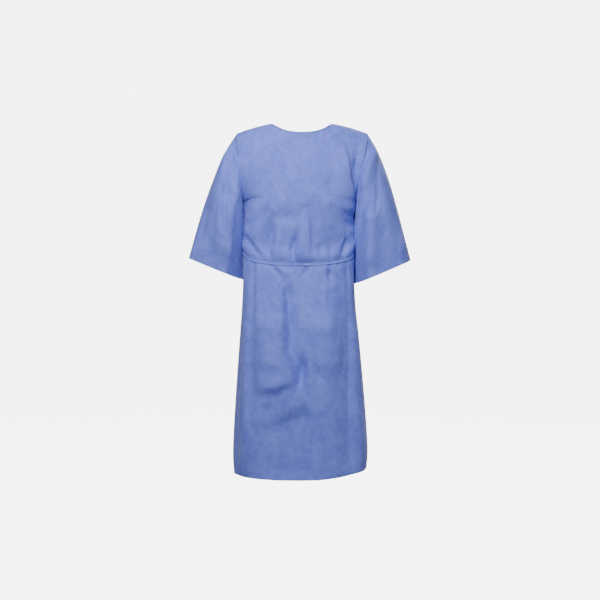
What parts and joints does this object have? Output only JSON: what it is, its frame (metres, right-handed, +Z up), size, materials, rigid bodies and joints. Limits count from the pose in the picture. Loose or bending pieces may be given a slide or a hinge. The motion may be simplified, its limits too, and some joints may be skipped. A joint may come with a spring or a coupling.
{
  "type": "patient gown",
  "caption": "Knee-length tie-back patient gown of thin non-woven cloth, with wide elbow-length sleeves, a bound round neck, a narrow waist tie and an open back.",
  "frame": {"origin": "midway between the two neck points, where the shoulder seams meet the neck, on the wearer's shoulders", "axes": "+X towards the wearer's left, -Y towards the front, +Z up"},
  "size_m": [0.704, 0.3418, 1.1098],
  "materials": {
    "cloth": "matt non-woven cloth, periwinkle blue",
    "tape": "folded non-woven tape, periwinkle blue",
    "thread": "overlocked seam allowance, periwinkle blue"
  },
  "bodies": {
    "gown_body": {"front_panel": "cloth", "back_panel_left": "cloth", "back_panel_right": "cloth", "shoulder_seam_left": "thread", "shoulder_seam_right": "thread", "side_seam_left": "thread", "side_seam_right": "thread", "armhole_seam_left": "thread", "armhole_seam_right": "thread", "neck_binding": "tape", "neck_tie_knot": "tape", "neck_bow_loop_left": "tape", "neck_bow_loop_right": "tape", "waist_tie": "tape", "waist_tie_knot": "tape", "waist_bow_loop_left": "tape", "waist_bow_loop_right": "tape"},
    "sleeve_left": {"sleeve_left": "cloth", "sleeve_seam_left": "thread"},
    "sleeve_right": {"sleeve_right": "cloth", "sleeve_seam_right": "thread"},
    "back_flap_left": {"back_flap_left": "cloth"},
    "back_flap_right": {"back_flap_right": "cloth"},
    "waist_tie_tail_left": {"waist_tie_tail_left": "tape"},
    "waist_tie_tail_right": {"waist_tie_tail_right": "tape"},
    "neck_tie_tail_left": {"neck_tie_tail_left": "tape"},
    "neck_tie_tail_right": {"neck_tie_tail_right": "tape"}
  },
  "joints": [
    {"name": "sleeve_left_lift", "type": "hinge", "parent": "gown_body", "child": "sleeve_left", "pos_m": [0.2072, 0, -0.03], "axis": [0, -1, 0], "range_deg": [0, 45]},
    {"name": "sleeve_right_lift", "type": "hinge", "parent": "gown_body", "child": "sleeve_right", "pos_m": [-0.2072, 0, -0.03], "axis": [0, 1, 0], "range_deg": [0, 45]},
    {"name": "back_flap_left_open", "type": "hinge", "parent": "gown_body", "child": "back_flap_left", "pos_m": [0.01825, 0.1236, -0.67819], "axis": [0.2325, 0.0619, -0.9706], "range_deg": [0, 90]},
    {"name": "back_flap_right_open", "type": "hinge", "parent": "gown_body", "child": "back_flap_right", "pos_m": [-0.01825, 0.1236, -0.67819], "axis": [0.2325, -0.0619, 0.9706], "range_deg": [0, 90]},
    {"name": "waist_tie_tail_left_swing", "type": "hinge", "parent": "gown_body", "child": "waist_tie_tail_left", "pos_m": [0.005, 0.09125, -0.42142], "axis": [1, 0, 0], "range_deg": [0, 75]},
    {"name": "waist_tie_tail_right_swing", "type": "hinge", "parent": "gown_body", "child": "waist_tie_tail_right", "pos_m": [-0.005, 0.09125, -0.42142], "axis": [1, 0, 0], "range_deg": [0, 75]},
    {"name": "neck_tie_tail_left_swing", "type": "hinge", "parent": "gown_body", "child": "neck_tie_tail_left", "pos_m": [0.004, 0.05946, -0.03199], "axis": [1, 0, 0], "range_deg": [0, 60]},
    {"name": "neck_tie_tail_right_swing", "type": "hinge", "parent": "gown_body", "child": "neck_tie_tail_right", "pos_m": [-0.004, 0.05946, -0.03199], "axis": [1, 0, 0], "range_deg": [0, 60]}
  ]
}
